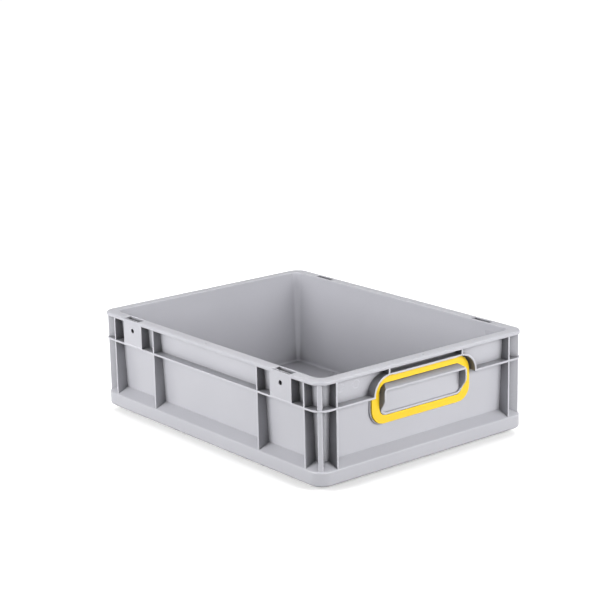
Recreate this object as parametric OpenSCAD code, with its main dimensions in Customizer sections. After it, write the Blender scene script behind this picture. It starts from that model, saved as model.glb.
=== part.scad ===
// Open-topped stacking container, moulded in one piece, with a colour frame clipped round each end grip.
// Millimetres. X runs along the long sides, Y along the short sides, +Z is up.
// The origin is at the centre of the footprint, on the plane that the base ring stands on.
// "Inset" is a distance measured inwards from the outermost vertical plane of a side.

/* [Overall] */
// Outer length, along X
length = 400; // [380:1:600]
// Outer width, along Y
width = 300; // [280:1:400]
// Overall height, base ring to rim
height = 120; // [115:1:220]
// Radius of the outer corners, seen from above
corner_r = 15; // [12:0.5:18]

/* [Walls] */
// Thickness of the walls
wall_t = 2.2; // [1.8:0.1:3]
// Inset of the outer wall face just under the rim
wall_inset = 10.5; // [9:0.5:12]
// How far the wall leans in per millimetre of depth
draft = 0.044; // [0.02:0.002:0.05]
// Distance of the wall corners' centres from the outer planes
wall_corner = 22; // [21:0.5:26]
// Thickness of the floor
floor_t = 2.6; // [2:0.1:4]
// Height of the floor's underside above the base ring's foot
floor_rise = 1.6; // [1:0.1:3]

/* [Rim] */
// Vertical thickness of the rim flange
rim_t = 4.4; // [3:0.1:6]
// Rounding along the rim's outer top edge
rim_round = 1.8; // [0.5:0.1:2.5]
// Radius of the shallow mark at the middle of each rim
mark_r = 1.3; // [0.8:0.1:2]

/* [Ribs] */
// Thickness of the upright ribs and of the band
rib_t = 2.2; // [1.6:0.1:3]
// Inset of the ribs' outer edges
rib_inset = 0.8; // [0:0.1:1.5]
// Width of the diagonal rib on each corner
corner_rib_w = 5; // [3:0.5:6]
// Height of the middle of the band that runs round the box
band_z = 88; // [80:0.1:90]
// Distance of the end ribs on the long sides from the middle
rib_outer_x = 174.5; // [170:0.5:178]
// Distance of the inner ribs on the long sides from the middle
rib_inner_x = 96; // [60:0.5:110]
// Distance of the ribs on the short sides from the middle
rib_end_y = 125; // [110:0.2:128]

/* [Skirt] */
// Height of the skirt's lower edge, which lands on the rim of a box below
skirt_z = 6; // [4:0.5:8]
// Height at which the skirt's sloping top meets the wall
skirt_top = 29; // [24:0.2:32]
// Rise of the sloping top per millimetre inwards
skirt_slope = 0.479; // [0.3:0.01:0.6]
// Thickness of the skirt
skirt_t = 2.4; // [2:0.1:3]

/* [Lid pockets] */
// Distance of each pocket's middle from the middle of the long side
pocket_x = 137; // [125:0.5:145]
// Width of the pocket's front
pocket_w = 36; // [32:0.5:40]
// Length of the slot in the rim above the pocket
slot_l = 29; // [24:0.5:30]
// Thickness of the pocket's front plate
plate_t = 2.5; // [2:0.1:3.5]
// How far the front plate's top lies below the rim
plate_drop = 0.5; // [0.3:0.1:1.5]
// Radius of the pin hole in the front plate
pin_hole_r = 2.8; // [2:0.1:3.5]
// Height of the pin hole
pin_hole_z = 106.8; // [100:0.1:110]

/* [Grip] */
// Half the outer width of the arch over each grip
arch_half = 74.6; // [74:0.1:78]
// Height of the top of the arch
arch_top = 110.4; // [110:0.1:111]
// Outer corner radius of the arch
arch_r = 22; // [21.5:0.5:24]
// Height of the hood's lower edge
hood_low = 63.2; // [62.8:0.1:64]
// Height of the hood's root at the top
hood_high = 98; // [96:0.1:99.2]
// Half the width of the hood
hood_half = 60; // [56:0.1:60.2]
// Thickness of the hood
hood_t = 2.2; // [1.8:0.1:2.6]

/* [Colour frame] */
// Half the outer width of the frame
frame_half = 71.2; // [70.6:0.1:72.2]
// Height of the frame's lower edge
frame_low = 54; // [52:0.1:54.4]
// Height of the frame's upper edge
frame_high = 107.4; // [106:0.1:107.6]
// Thickness of the frame
frame_t = 2.3; // [2:0.1:3]
// Radius of the frame's pegs
peg_r = 2; // [1.5:0.1:2.5]
// Length of the frame's pegs
peg_l = 1.9; // [1.5:0.1:2]

/* [Hidden] */
$fn = 48;
eps = 0.01;

half_l = length / 2;
half_w = width / 2;
rim_low = height - rim_t;

// Wall faces: insets of the outer and inner face at height z.
function wall_out(z) = wall_inset + draft * (rim_low - z);
function wall_in(z) = wall_out(z) + wall_t;
// Top face of the skirt's slope, at a given inset.
function slope_z(u) = skirt_top + skirt_slope * (u - wall_out(skirt_top));
// Points [inset, z] along an arc, from angle a to angle b.
function arc(u, z, r, a, b, steps = 5) =
    [for (i = [0 : steps]) let (t = a + (b - a) * i / steps) [u + r * cos(t), z + r * sin(t)]];

// Floor
floor_z = floor_rise + floor_t;
floor_fillet = 3;
foot_ring_w = 6;
floor_rib_t = 1.8;
floor_rib_pitch = 60;

// Rim
rim_inner_round = 1;
mark_inset = 6;
mark_depth = 0.7;

// Skirt
skirt_round = 3;
skirt_edge_r = 1.8;
slope_angle = atan(skirt_slope);
skirt_edge_u = skirt_edge_r * (1 - sin(slope_angle));
skirt_edge_z = slope_z(skirt_edge_u) - skirt_edge_r * cos(slope_angle);
gusset_t = 1.8;
gusset_pitch = 40;

// Lid pockets
band_inset = 0.3;
rib_root = 17;
pocket_inset = 0.5;
slot_x = pocket_x + 2;
pocket_back = wall_inset;

// Grip. The plinth is the flat that the colour frame sits on; the frame's front is the hood's lower edge.
arch_inset = 0.5;
arch_rib_y = 52.8;
plinth_x = half_l - 10.7;
plinth_margin = 1.2;
frame_x = plinth_x + frame_t;
hood_x = half_l - 0.6;
hood_corner = 9;
hood_gap = 0.6;
lip_h = 2.2;
lip_z = 92.2;
chamfer_z = lip_z + lip_h;
scoop_low = 66.2;
scoop_high = 82.3;
frame_low_r = 17;
frame_high_r = 20;
frame_chamfer = 0.5;
peg_gap = 0.08;
socket_depth = peg_l + 0.2;
frame_mid_y = (frame_half + hood_half + hood_gap) / 2;
peg_places = [[frame_mid_y, 88], [frame_mid_y, 67], [28, 58.6]];

// ---- shared shapes ----

// A block with round corners whose side follows the outline pts, a list of [inset, z] from bottom to top.
// The corners turn about vertical axes that stand centre away from both outer planes.
module rounded_block(pts, centre) {
    last = len(pts) - 1;
    for (sx = [-1, 1], sy = [-1, 1])
        translate([sx * (half_l - centre), sy * (half_w - centre), 0])
            rotate_extrude()
                polygon(concat([[0, pts[0][1]]], [for (p = pts) [max(centre - p[0], 0), p[1]]], [[0, pts[last][1]]]));
    rotate([90, 0, 0]) side_prism(pts, half_l, half_w - centre);
    rotate([90, 0, 90]) side_prism(pts, half_w, half_l - centre);
}

// The outline mirrored about the middle plane, half_size wide, and drawn out to both sides of the middle.
module side_prism(pts, half_size, half_run) {
    linear_extrude(height = 2 * half_run, center = true)
        polygon(concat([for (p = pts) [half_size - p[0], p[1]]],
                       [for (i = [len(pts) - 1 : -1 : 0]) [pts[i][0] - half_size, pts[i][1]]]));
}

// An upright rectangle in the end's own plane, y across and z up, with one radius below and one above.
module round_rect(half_size, low, high, r_low, r_high) {
    hull_low = low + r_low;
    hull_high = high - r_high;
    for (s = [-1, 1]) {
        translate([s * (half_size - r_low), hull_low]) circle(r = r_low);
        translate([s * (half_size - r_high), hull_high]) circle(r = r_high);
    }
    translate([-half_size, hull_low]) square([2 * half_size, hull_high - hull_low]);
    translate([-(half_size - r_low), low]) square([2 * (half_size - r_low), hull_high - low]);
    translate([-(half_size - r_high), hull_low]) square([2 * (half_size - r_high), high - hull_low]);
}

// Draws a shape out of the end's plane, from x0 to x1.
module along_x(x0, x1) {
    translate([x0, 0, 0]) rotate([90, 0, 90]) linear_extrude(height = x1 - x0) children();
}

// Draws an x-z outline across the end, half_size to each side.
module across_y(half_size) {
    rotate([90, 0, 0]) linear_extrude(height = 2 * half_size, center = true) children();
}

module both_ends() {
    children();
    mirror([1, 0, 0]) children();
}

module four_ways() {
    for (mx = [0, 1], my = [0, 1]) mirror([mx, 0, 0]) mirror([0, my, 0]) children();
}

// ---- container ----

module rim() {
    rounded_block(concat([[0.5, rim_low], [0, rim_low + 0.5]],
                         arc(rim_round, height - rim_round, rim_round, 180, 90)), corner_r);
}

module wall_block() {
    rounded_block([[wall_out(0) + 0.8, 0], [wall_out(0.8), 0.8], [wall_out(rim_low + 1), rim_low + 1]], wall_corner);
}

// The band that runs round the box. It stops at each arch.
module band() {
    difference() {
        rounded_block([[band_inset, band_z - rib_t / 2], [band_inset, band_z + rib_t / 2]], corner_r);
        both_ends()
            translate([half_l - corner_r, -(arch_half - rib_t / 2), band_z - rib_t])
                cube([2 * corner_r, 2 * arch_half - rib_t, 2 * rib_t]);
    }
}

module skirt() {
    roof = skirt_t / cos(slope_angle);
    difference() {
        rounded_block(concat(arc(skirt_round, skirt_z + skirt_round, skirt_round, 270, 180),
                             arc(skirt_edge_r, skirt_edge_z, skirt_edge_r, 180, 90 + slope_angle),
                             [[corner_r, slope_z(corner_r)]]), corner_r);
        difference() {
            rounded_block([[skirt_t, skirt_z - 1], [skirt_t, slope_z(skirt_t) - roof],
                           [corner_r, slope_z(corner_r) - roof]], corner_r);
            gussets();
        }
    }
}

// Webs that stiffen the skirt from inside, clear of its lower edge.
module gussets() {
    low = skirt_z + 1.5;
    for (x = [-4 * gusset_pitch : gusset_pitch : 4 * gusset_pitch])
        translate([x - gusset_t / 2, -half_w, low]) cube([gusset_t, width, skirt_top]);
    for (y = [-3 * gusset_pitch : gusset_pitch : 3 * gusset_pitch])
        translate([-half_l, y - gusset_t / 2, low]) cube([length, gusset_t, skirt_top]);
}

// Upright ribs on one quarter of the box, from inside the skirt to the rim.
module quarter_ribs() {
    low = skirt_z + 1.5;
    tall = rim_low + 1 - low;
    depth = rib_root;
    for (x = [rib_inner_x, rib_outer_x])
        translate([x - rib_t / 2, half_w - depth, low]) cube([rib_t, depth - rib_inset, tall]);
    translate([half_l - depth, rib_end_y - rib_t / 2, low]) cube([depth - rib_inset, rib_t, tall]);
    translate([half_l - corner_r, half_w - corner_r, low])
        rotate([0, 0, 45])
            translate([-wall_inset, -corner_rib_w / 2, 0])
                cube([wall_inset + corner_r - 2 * rib_inset, corner_rib_w, tall]);
}

// The pocket that a lid's hinge or catch drops into: a plate and two cheeks standing on the band.
module lid_pocket() {
    translate([pocket_x - pocket_w / 2, half_w - corner_r, band_z])
        cube([pocket_w, corner_r - pocket_inset, rim_low + 1 - band_z]);
}

// Room inside the pocket, the slot through the rim above it, and the pin hole.
module lid_pocket_room() {
    back = half_w - pocket_back;
    front = half_w - pocket_inset - plate_t;
    room_low = band_z + rib_t / 2;
    inner_w = pocket_w - 2 * rib_t;
    translate([pocket_x - inner_w / 2, back, room_low]) cube([inner_w, front - back, rim_low - room_low]);
    translate([slot_x - slot_l / 2, back, room_low]) cube([slot_l, front - back, height]);
    translate([slot_x - slot_l / 2, back, height - plate_drop]) cube([slot_l, half_w, height]);
    translate([slot_x - slot_l / 2, half_w - pocket_inset, rim_low - eps]) cube([slot_l, pocket_inset + 1, rim_t + 1]);
    translate([pocket_x, front - 1, pin_hole_z]) rotate([-90, 0, 0]) cylinder(r = pin_hole_r, h = plate_t + 3);
}

// The inside of the container, with a small radius round the floor and along the rim's inner edge.
module interior() {
    low_u = wall_in(floor_z);
    top = height - rim_inner_round;
    top_u = wall_in(top);
    rounded_block(concat(arc(low_u + floor_fillet, floor_z + floor_fillet, floor_fillet, 270, 180, 4),
                         arc(top_u - rim_inner_round, top, rim_inner_round, 0, 90, 4),
                         [[top_u - rim_inner_round, height + 1]]), wall_corner);
}

// The recess under the floor, crossed by low ribs.
module floor_recess() {
    edge = wall_out(0) + foot_ring_w;
    difference() {
        translate([edge - half_l, edge - half_w, -1])
            cube([length - 2 * edge, width - 2 * edge, floor_rise + 1]);
        for (x = [-2.5 * floor_rib_pitch : floor_rib_pitch : 2.5 * floor_rib_pitch])
            translate([x - floor_rib_t / 2, -half_w, 0]) cube([floor_rib_t, width, floor_rise]);
        for (y = [-1.5 * floor_rib_pitch : floor_rib_pitch : 1.5 * floor_rib_pitch])
            translate([-half_l, y - floor_rib_t / 2, 0]) cube([length, floor_rib_t, floor_rise]);
    }
}

module rim_marks() {
    for (s = [-1, 1]) {
        translate([0, s * (half_w - mark_inset), height - mark_depth]) cylinder(r = mark_r, h = 2);
        translate([s * (half_l - mark_inset), 0, height - mark_depth]) cylinder(r = mark_r, h = 2);
    }
}

// ---- grip ----

module arch() {
    along_x(half_l - corner_r, half_l - arch_inset)
        difference() {
            round_rect(arch_half, band_z - rib_t / 2 - arch_r, arch_top, arch_r, arch_r);
            round_rect(arch_half - rib_t, band_z - rib_t / 2 - arch_r, arch_top - rib_t, arch_r, arch_r - rib_t);
            translate([-length, -height + band_z - rib_t / 2]) square([2 * length, height]);
        }
    for (s = [-1, 1])
        translate([half_l - corner_r, s * arch_rib_y - rib_t / 2, arch_top - rib_t / 2])
            cube([corner_r - arch_inset, rib_t, rim_low + 1 - arch_top + rib_t / 2]);
}

module plinth() {
    along_x(half_l - corner_r, plinth_x)
        round_rect(frame_half + plinth_margin, frame_low - plinth_margin, frame_high,
                   frame_low_r + plinth_margin, frame_high_r);
}

// Side view of the hood, from the wall out to its edge: the scoop below, the lip, and the sloping top.
module hood_side() {
    span = scoop_high - scoop_low;
    root_x = half_l - corner_r;
    polygon(concat([[root_x, hood_low - 1], [frame_x, hood_low - 1]],
                   [for (i = [0 : 8]) let (t = i / 8) [frame_x + (hood_x - frame_x) * t * t * (3 - 2 * t), scoop_low + span * t]],
                   [[hood_x, chamfer_z], [frame_x, hood_high + 0.3], [frame_x, hood_high + 1], [root_x, hood_high + 1]]));
}

// Side view of the finger room under the hood.
module hood_room_side() {
    root_x = half_l - corner_r - 1;
    polygon([[root_x, hood_low + hood_t], [half_l + 1, hood_low + hood_t], [half_l + 1, lip_z],
             [hood_x - hood_t, lip_z], [hood_x - hood_t, chamfer_z - 0.8],
             [frame_x, hood_high - hood_t], [root_x, hood_high - hood_t]]);
}

module hood() {
    difference() {
        intersection() {
            along_x(half_l - corner_r, hood_x) round_rect(hood_half, hood_low, hood_high, hood_corner, hood_corner);
            across_y(half_w) hood_side();
        }
        intersection() {
            along_x(half_l - corner_r - 1, half_l + 1)
                round_rect(hood_half - hood_t, hood_low + hood_t, hood_high - hood_t,
                           hood_corner - hood_t, hood_corner - hood_t);
            across_y(half_w) hood_room_side();
        }
    }
}

module peg_sockets() {
    for (s = [-1, 1], p = peg_places)
        translate([plinth_x - socket_depth, s * p[0], p[1]])
            rotate([0, 90, 0]) cylinder(r = peg_r + peg_gap, h = socket_depth + 1);
}

module grip_end() {
    arch();
    plinth();
    hood();
}

module box_body() {
    color("lightgray")
        difference() {
            union() {
                rim();
                wall_block();
                band();
                skirt();
                four_ways() {
                    quarter_ribs();
                    lid_pocket();
                }
                both_ends() grip_end();
            }
            interior();
            floor_recess();
            rim_marks();
            four_ways() lid_pocket_room();
            both_ends() peg_sockets();
        }
}

// ---- colour frame ----

module grip_frame() {
    color("gold") {
        difference() {
            union() {
                along_x(plinth_x, frame_x - frame_chamfer) frame_outline(0);
                along_x(frame_x - frame_chamfer - eps, frame_x) frame_outline(frame_chamfer / 2);
            }
            along_x(plinth_x - 1, frame_x + 1)
                round_rect(hood_half + hood_gap, hood_low - hood_gap, hood_high + hood_gap,
                           hood_corner + hood_gap, hood_corner + hood_gap);
        }
        for (s = [-1, 1], p = peg_places)
            translate([plinth_x - peg_l, s * p[0], p[1]]) rotate([0, 90, 0]) cylinder(r = peg_r, h = peg_l + 1);
    }
}

module frame_outline(trim) {
    round_rect(frame_half - trim, frame_low + trim, frame_high - trim, frame_low_r - trim, frame_high_r - trim);
}

module grip_frame_right() {
    grip_frame();
}

module grip_frame_left() {
    mirror([1, 0, 0]) grip_frame();
}

box_body();
grip_frame_right();
grip_frame_left();
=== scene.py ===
import math

import bmesh
import bpy
from mathutils import Matrix, Vector


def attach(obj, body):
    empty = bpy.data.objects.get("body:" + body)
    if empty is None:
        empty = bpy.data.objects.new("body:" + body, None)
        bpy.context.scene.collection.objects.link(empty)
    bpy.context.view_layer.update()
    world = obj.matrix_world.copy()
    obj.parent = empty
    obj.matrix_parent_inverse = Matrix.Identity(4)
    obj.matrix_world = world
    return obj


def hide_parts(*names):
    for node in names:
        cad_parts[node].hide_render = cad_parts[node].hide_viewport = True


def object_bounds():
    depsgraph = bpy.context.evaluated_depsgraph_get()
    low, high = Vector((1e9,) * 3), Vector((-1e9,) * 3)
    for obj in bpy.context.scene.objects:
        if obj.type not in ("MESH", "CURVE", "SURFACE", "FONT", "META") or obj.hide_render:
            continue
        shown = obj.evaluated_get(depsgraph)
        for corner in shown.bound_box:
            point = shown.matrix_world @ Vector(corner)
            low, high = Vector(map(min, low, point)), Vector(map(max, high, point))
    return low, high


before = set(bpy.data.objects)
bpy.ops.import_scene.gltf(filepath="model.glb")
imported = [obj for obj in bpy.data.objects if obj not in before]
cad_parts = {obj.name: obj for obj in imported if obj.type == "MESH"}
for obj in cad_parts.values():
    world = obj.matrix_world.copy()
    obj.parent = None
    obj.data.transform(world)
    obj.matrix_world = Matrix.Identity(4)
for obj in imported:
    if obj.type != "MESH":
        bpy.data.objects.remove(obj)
CAD_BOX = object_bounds()
scene = bpy.context.scene

# ---------- sizes, in metres ----------
LOW, HIGH = CAD_BOX
# The outer wall face: its inset just under the rim, and its lean per metre of depth
WALL_INSET = 0.0105
DRAFT = 0.044
RIM_BOTTOM = HIGH[2] - 0.0044
# Where the polish of the inside ends and the grain of the outside begins: insets within the walls' thickness,
# and heights within the floor's
POLISH_INSETS = (0.0129, 0.0121)
POLISH_HEIGHTS = (0.0036, 0.0030)
# Planes that split the body's large faces, clear of its ribs, so that no face is left with a hole in it
BODY_CUTS_X = (-0.165, -0.110, -0.020, 0.020, 0.110, 0.165)
BODY_CUTS_Y = (-0.100, -0.045, 0.005, 0.045, 0.100)
FRAME_CUTS_Y = (0.0,)
# Rounding of the outward edges
BODY_EDGE = 0.0004
FRAME_EDGE = 0.0003
# Edges that turn by more than the first are real edges, flatter ones are part of a curve, and those under the
# second only join the triangles of one face
EDGE_ANGLE = math.radians(35)
FLAT_ANGLE = math.radians(0.3)
# Corners of the CAD mesh this close together are one corner
WELD = 1e-6
# Mould stamps on the right end wall: places along Y, height, radius of the ring and of its raised line
STAMP_PLACES = (-0.112, -0.0905)
STAMP_Z = 0.105
STAMP_R = 0.0045
STAMP_RELIEF = 0.00012
# How far from an outward edge the painted highlight reaches, and how wide a nook the painted shade fills
EDGE_HIGHLIGHT_REACH = 0.0010
NOOK_SHADE_REACH = 0.028
# The floor lies this far under the lowest CAD point, and reaches this far each way
FLOOR_GAP = 0.0002
FLOOR_REACH = 12

# ---------- colours ----------
GREY = (0.372, 0.372, 0.400)
DEEP_GREY = (0.354, 0.354, 0.382)
YELLOW = (0.665, 0.448, 0.009)
DEEP_YELLOW = (0.638, 0.420, 0.008)


# ---------- camera ----------
def add_camera():
    """The photograph's view, as an orbit round a point the lens looks at."""
    azimuth, elevation, roll = (math.radians(degrees) for degrees in (-39.019, 14.694, -1.207))
    target = Vector((-0.25865, 0.20511, 0.05162))
    distance = 2.34110
    back = Vector((math.cos(azimuth) * math.cos(elevation),
                   math.sin(azimuth) * math.cos(elevation),
                   math.sin(elevation)))
    right = (-back).cross(Vector((0, 0, 1))).normalized()
    up = right.cross(-back)
    x = math.cos(roll) * right + math.sin(roll) * up
    y = -math.sin(roll) * right + math.cos(roll) * up
    data = bpy.data.cameras.new("camera")
    data.sensor_width = 36
    data.lens = 103.51
    data.clip_end = 50
    camera = bpy.data.objects.new("camera", data)
    scene.collection.objects.link(camera)
    pose = Matrix((x, y, back)).transposed().to_4x4()
    pose.translation = target + distance * back
    camera.matrix_world = pose
    scene.camera = camera


# ---------- shader helpers ----------
def new_material(name):
    material = bpy.data.materials.new(name)
    material.use_nodes = True
    tree = material.node_tree
    return material, tree, tree.nodes["Principled BSDF"]


def object_coords(tree):
    return tree.nodes.new("ShaderNodeTexCoord").outputs["Object"]


def noise(tree, coords, scale, detail=2.0, roughness=0.5):
    node = tree.nodes.new("ShaderNodeTexNoise")
    node.inputs["Scale"].default_value = scale
    node.inputs["Detail"].default_value = detail
    node.inputs["Roughness"].default_value = roughness
    tree.links.new(coords, node.inputs["Vector"])
    return node.outputs["Fac"]


def ramp(tree, value, low, high, a, b):
    """value from low..high, mapped to a..b and clamped."""
    node = tree.nodes.new("ShaderNodeMapRange")
    tree.links.new(value, node.inputs["Value"])
    for socket, number in zip(("From Min", "From Max", "To Min", "To Max"), (low, high, a, b)):
        node.inputs[socket].default_value = number
    return node.outputs["Result"]


def spread(tree, value, a, b):
    """The middle of a noise, stretched to a..b."""
    return ramp(tree, value, 0.3, 0.7, a, b)


def mix(tree, kind, factor, a, b):
    node = tree.nodes.new("ShaderNodeMix")
    node.data_type = kind
    sockets = [s for s in node.inputs if s.enabled]
    for socket, value in zip(sockets, (factor, a, b)):
        if hasattr(value, "links"):
            tree.links.new(value, socket)
        else:
            socket.default_value = value
    return [s for s in node.outputs if s.enabled][0]


def times(tree, a, b):
    node = tree.nodes.new("ShaderNodeMath")
    node.operation = "MULTIPLY"
    tree.links.new(a, node.inputs[0])
    tree.links.new(b, node.inputs[1])
    return node.outputs[0]


def bump(tree, height, strength, distance, normal=None):
    node = tree.nodes.new("ShaderNodeBump")
    node.inputs["Strength"].default_value = strength
    node.inputs["Distance"].default_value = distance
    tree.links.new(height, node.inputs["Height"])
    if normal is not None:
        tree.links.new(normal, node.inputs["Normal"])
    return node.outputs["Normal"]


def openness(tree, distance, inside=False):
    """1 on open faces and less in nooks, or, measured inside the plastic, less along the outward edges."""
    node = tree.nodes.new("ShaderNodeAmbientOcclusion")
    node.samples = 6
    node.inside = inside
    node.only_local = True
    node.inputs["Distance"].default_value = distance
    return node.outputs["AO"]


# ---------- materials ----------
def moulded_plastic(name, colour, deep, rough_low, rough_high, polished=None):
    """Polypropylene: fine mould grain, slow waves from the mould, a faint drift of tone where the melt
    flowed, a painted highlight along the outward edges and painted shade in the nooks. polished is a mask, 1
    where the mould was smooth."""
    material, tree, shader = new_material(name)
    coords = object_coords(tree)

    flow = noise(tree, coords, 9.0, 3.0, 0.6)
    tone = mix(tree, "RGBA", spread(tree, flow, 0.0, 1.0), (*deep, 1), (*colour, 1))
    speck = spread(tree, noise(tree, coords, 900.0, 1.0), 0.985, 1.015)
    # Factors on the colour: painted highlight up to 1.80 on the sharpest edges, painted shade down to 0.15 in
    # the deepest nooks
    painted_edge_highlight = ramp(tree, openness(tree, EDGE_HIGHLIGHT_REACH, inside=True), 0.45, 0.95, 1.80, 1.0)
    painted_nook_shade = ramp(tree, openness(tree, NOOK_SHADE_REACH), 0.20, 0.60, 0.15, 1.0)
    scaled = tree.nodes.new("ShaderNodeVectorMath")
    scaled.operation = "SCALE"
    tree.links.new(tone, scaled.inputs[0])
    tree.links.new(times(tree, speck, times(tree, painted_edge_highlight, painted_nook_shade)), scaled.inputs["Scale"])
    tree.links.new(scaled.outputs["Vector"], shader.inputs["Base Color"])

    rough = spread(tree, noise(tree, coords, 35.0, 4.0, 0.65), rough_low, rough_high)
    if polished is not None:
        rough = mix(tree, "FLOAT", polished(tree, coords), rough, spread(tree, flow, 0.27, 0.32))
    tree.links.new(rough, shader.inputs["Roughness"])

    waves = bump(tree, noise(tree, coords, 14.0, 1.0), 0.35, 0.0006)
    grain = bump(tree, noise(tree, coords, 1600.0, 2.0), 0.10, 0.0002, waves)
    tree.links.new(grain, shader.inputs["Normal"])
    shader.inputs["IOR"].default_value = 1.49
    shader.inputs["Specular IOR Level"].default_value = 0.5
    return material


def inside_mask(tree, coords):
    """1 on the polished inside of the box, 0 on the grained outside."""
    split = tree.nodes.new("ShaderNodeSeparateXYZ")
    tree.links.new(coords, split.inputs[0])
    polished_z, grained_z = POLISH_HEIGHTS
    mask = ramp(tree, split.outputs["Z"], grained_z, polished_z, 0.0, 1.0)
    for axis, reach in (("X", HIGH[0]), ("Y", HIGH[1])):
        size = tree.nodes.new("ShaderNodeMath")
        size.operation = "ABSOLUTE"
        tree.links.new(split.outputs[axis], size.inputs[0])
        polished, grained = (reach - inset for inset in POLISH_INSETS)
        mask = times(tree, mask, ramp(tree, size.outputs[0], polished, grained, 1.0, 0.0))
    return mask


def pale_floor():
    """White and matt, and lit more evenly the farther it is from the object."""
    material, tree, shader = new_material("pale_floor")
    shader.inputs["Base Color"].default_value = (0.9, 0.9, 0.9, 1)
    shader.inputs["Roughness"].default_value = 0.9
    shader.inputs["Specular IOR Level"].default_value = 0.1
    shader.inputs["Emission Color"].default_value = (1, 1, 1, 1)
    reach = tree.nodes.new("ShaderNodeVectorMath")
    reach.operation = "LENGTH"
    tree.links.new(object_coords(tree), reach.inputs[0])
    glow = ramp(tree, reach.outputs["Value"], 0.5, 2.2, 0.2, 1.0)
    tree.links.new(glow, shader.inputs["Emission Strength"])
    return material


# ---------- meshes ----------
def cleaned(node, cuts_x, cuts_y):
    """A copy of a CAD node's mesh: flat faces whole again, split only at the cuts, real edges marked."""
    bm = bmesh.new()
    bm.from_mesh(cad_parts[node].data)
    bmesh.ops.remove_doubles(bm, verts=bm.verts, dist=WELD)
    for normal, places in (((1, 0, 0), cuts_x), ((0, 1, 0), cuts_y)):
        for place in places:
            everything = bm.verts[:] + bm.edges[:] + bm.faces[:]
            cut = bmesh.ops.bisect_plane(bm, geom=everything, plane_co=Vector(normal) * place,
                                         plane_no=normal, dist=WELD)
            for item in cut["geom_cut"]:
                if isinstance(item, bmesh.types.BMEdge):
                    item.seam = True
    bmesh.ops.dissolve_limit(bm, angle_limit=FLAT_ANGLE, verts=bm.verts, edges=bm.edges,
                             use_dissolve_boundaries=False, delimit={"SEAM"})
    weight = bm.edges.layers.float.new("bevel_weight_edge")
    for edge in bm.edges:
        edge.seam = False
        if edge.is_manifold and edge.calc_face_angle() > EDGE_ANGLE:
            edge[weight] = float(edge.is_convex)
            edge.smooth = edge.is_convex
    for face in bm.faces:
        face.smooth = True
        face.material_index = 0
    return bm


def add_stamp_ring(bm, y):
    """A plain round mould stamp on the right end wall: a fine raised ring that follows the wall's lean."""
    turns, sides = 64, 6
    rings = []
    for i in range(turns):
        turn = math.tau * i / turns
        ring = []
        for j in range(sides):
            side = math.tau * j / sides
            reach = STAMP_R + STAMP_RELIEF * math.cos(side)
            z = STAMP_Z + reach * math.sin(turn)
            wall_x = HIGH[0] - WALL_INSET - DRAFT * (RIM_BOTTOM - z)
            ring.append(bm.verts.new((wall_x + STAMP_RELIEF * math.sin(side), y + reach * math.cos(turn), z)))
        rings.append(ring)
    for i in range(turns):
        here, after = rings[i], rings[(i + 1) % turns]
        for j in range(sides):
            k = (j + 1) % sides
            bm.faces.new((here[j], after[j], after[k], here[k])).smooth = True


def make_piece(name, bm, edge, material, body, replaced):
    """A piece from its mesh, with its outward edges rounded as a mould leaves them."""
    mesh = bpy.data.meshes.new(name)
    bm.to_mesh(mesh)
    bm.free()
    mesh.materials.append(material)
    obj = bpy.data.objects.new(name, mesh)
    scene.collection.objects.link(obj)
    bevel = obj.modifiers.new("edges", "BEVEL")
    bevel.width = edge
    bevel.segments = 2
    bevel.limit_method = "WEIGHT"
    bevel.use_clamp_overlap = False
    bevel.miter_outer = "MITER_ARC"
    shading = obj.modifiers.new("shading", "WEIGHTED_NORMAL")
    shading.mode = "FACE_AREA"
    shading.weight = 100
    shading.keep_sharp = True
    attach(obj, body)
    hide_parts(replaced)
    return obj


def add_body():
    grey = moulded_plastic("grey_polypropylene", GREY, DEEP_GREY, 0.34, 0.42, inside_mask)
    moulding = cleaned("box_body", BODY_CUTS_X, BODY_CUTS_Y)
    for y in STAMP_PLACES:
        add_stamp_ring(moulding, y)
    make_piece("moulded_body", moulding, BODY_EDGE, grey, "container", "box_body")


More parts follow.
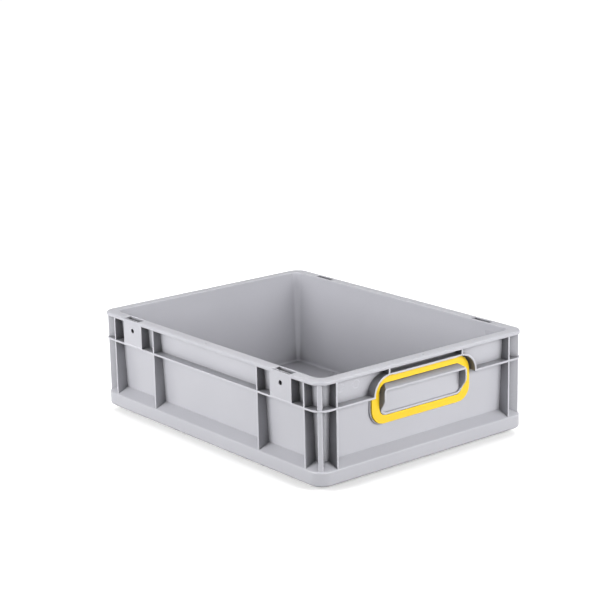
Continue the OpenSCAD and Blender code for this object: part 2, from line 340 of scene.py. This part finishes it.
def add_frames():
    yellow = moulded_plastic("yellow_polypropylene", YELLOW, DEEP_YELLOW, 0.32, 0.40)
    for side in ("right", "left"):
        node = "grip_frame_" + side
        ring = cleaned(node, (), FRAME_CUTS_Y)
        trim = make_piece("clip_frame_" + side, ring, FRAME_EDGE, yellow,
                          side + "_frame", node)
        # Keeps the yellow from tinting the grey round it
        trim.visible_diffuse = False


# ---------- stage and light ----------
def add_floor():
    bm = bmesh.new()
    bmesh.ops.create_grid(bm, x_segments=1, y_segments=1, size=FLOOR_REACH)
    mesh = bpy.data.meshes.new("floor")
    bm.to_mesh(mesh)
    bm.free()
    mesh.materials.append(pale_floor())
    floor = bpy.data.objects.new("floor", mesh)
    floor.location.z = LOW[2] - FLOOR_GAP
    # Keeps the white floor from lighting the sides of the ribs
    floor.visible_diffuse = False
    scene.collection.objects.link(floor)


def add_light(name, position, target, size, energy, glossy=True):
    data = bpy.data.lights.new(name, "AREA")
    data.shape = "RECTANGLE"
    data.size, data.size_y = size
    data.energy = energy
    light = bpy.data.objects.new(name, data)
    light.visible_glossy = glossy
    light.location = position
    light.rotation_euler = (Vector(position) - Vector(target)).to_track_quat("Z", "Y").to_euler()
    scene.collection.objects.link(light)


def add_lights():
    world = bpy.data.worlds.new("studio")
    world.use_nodes = True
    background = world.node_tree.nodes["Background"]
    background.inputs["Color"].default_value = (0.97, 0.98, 1.0, 1)
    background.inputs["Strength"].default_value = 0.06
    scene.world = world
    # One low key for each side that shows, set back past the other side to keep the ribs' near sides dark
    key_target, key_size, key_energy = (0, 0, 0.08), (0.75, 0.55), 19.5
    add_light("left", (-0.21, -1.14, 0.44), key_target, key_size, key_energy)
    add_light("right", (1.20, 0.22, 0.44), key_target, key_size, key_energy)
    add_light("front", (1.30, -1.05, 0.60), (0, 0, 0.06), (0.6, 0.6), 4)
    add_light("top", (-0.9, 0.9, 2.0), (-0.3, 0.3, 0), (3.0, 3.0), 50)
    # Lights the two hidden sides; without its mirror image, which would bleach the rim
    add_light("back", (-1.35, 1.20, 0.65), (0, 0, 0.06), (1.0, 0.8), 26, glossy=False)


add_camera()
add_body()
add_frames()
add_floor()
add_lights()
scene.view_settings.view_transform = "Standard"
